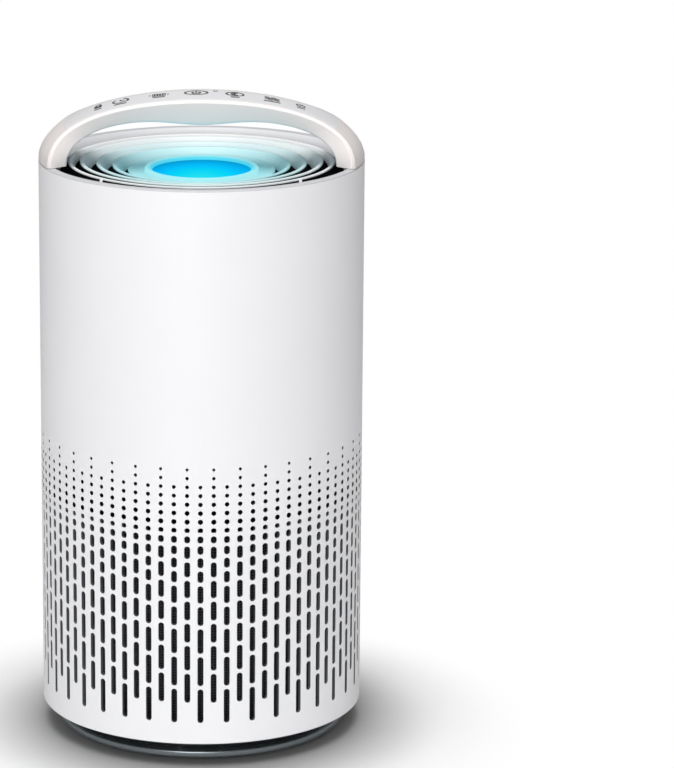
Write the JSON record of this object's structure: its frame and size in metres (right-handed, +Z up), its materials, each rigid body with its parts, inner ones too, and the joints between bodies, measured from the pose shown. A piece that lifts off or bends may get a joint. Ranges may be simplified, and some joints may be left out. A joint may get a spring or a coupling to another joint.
{
  "type": "air purifier",
  "caption": "Cylindrical tower air purifier with a perforated lower casing, ring filter, fan, dished outlet grille, lit centre and an arched handle.",
  "frame": {"origin": "on the floor under the centre of the round base", "axes": "+Z up through the tower, -Y towards the front, +X to the right seen from the front; the handle arches along X"},
  "size_m": [0.2002, 0.2, 0.4002],
  "materials": {
    "white_shell": "satin white moulded ABS",
    "grey_trim": "fine matt pale grey moulded ABS",
    "touch_face": "smooth pale touch film",
    "dark_inner": "matt dark moulded ABS",
    "light_blue": "frosted lit lens",
    "light_cyan": "frosted lit lip",
    "silver_ring": "satin silver",
    "circuit": "green solder mask",
    "motor_steel": "plain steel",
    "winding": "enamelled copper wire",
    "bearing_bronze": "sintered bronze",
    "filter_paper": "pleated glass fibre paper",
    "carbon": "carbon coated foam",
    "mesh_sleeve": "dark knitted mesh",
    "gasket": "soft foam",
    "foot_rubber": "matt rubber",
    "wire": "smooth flexible insulation"
  },
  "bodies": {
    "base": {"base_cover": "dark_inner", "bayonet_lug_1": "dark_inner", "bayonet_lug_2": "dark_inner", "bayonet_lug_3": "dark_inner", "base_ring": "silver_ring", "foot_1": "foot_rubber", "foot_2": "foot_rubber", "foot_3": "foot_rubber", "foot_4": "foot_rubber"},
    "filter": {"filter_bottom_cap": "dark_inner", "filter_top_cap": "dark_inner", "filter_gasket": "gasket", "filter_media": "filter_paper", "filter_mesh": "mesh_sleeve", "carbon_layer": "carbon"},
    "tower": {"outer_casing": "white_shell", "handle_shell": "white_shell", "touch_panel": "touch_face", "touch_film": "circuit", "handle_cover": "grey_trim", "outlet_grille": "grey_trim", "grille_seat": "dark_inner", "light_lens": "light_blue", "light_lip": "light_cyan", "light_board": "circuit", "inlet_plate": "dark_inner", "inlet_guard": "dark_inner", "fan_housing": "dark_inner", "guide_vanes": "dark_inner", "hub_cover": "dark_inner", "motor_base": "dark_inner", "bearing_lower": "bearing_bronze", "bearing_upper": "bearing_bronze", "motor_stator": "winding", "main_board": "circuit", "air_sensor": "dark_inner", "inner_frame": "dark_inner", "bayonet_ring_1": "dark_inner", "bayonet_ring_2": "dark_inner", "bayonet_ring_3": "dark_inner", "power_inlet": "dark_inner", "power_lead": "wire", "light_lead": "wire"},
    "rotor": {"impeller": "grey_trim", "rotor_can": "motor_steel", "motor_shaft": "motor_steel", "shaft_nut": "bearing_bronze"}
  },
  "joints": [
    {"name": "base_turn", "type": "hinge", "parent": "base", "child": "filter", "pos_m": [0, 0, 0.02], "axis": [0, 0, 1], "range_deg": [0, 20]},
    {"name": "tower_lift", "type": "slide", "parent": "filter", "child": "tower", "axis": [0, 0, 1], "range_m": [0, 0.18]},
    {"name": "fan_spin", "type": "hinge", "parent": "tower", "child": "rotor", "pos_m": [0, 0, 0.225], "axis": [0, 0, 1], "continuous": true}
  ]
}
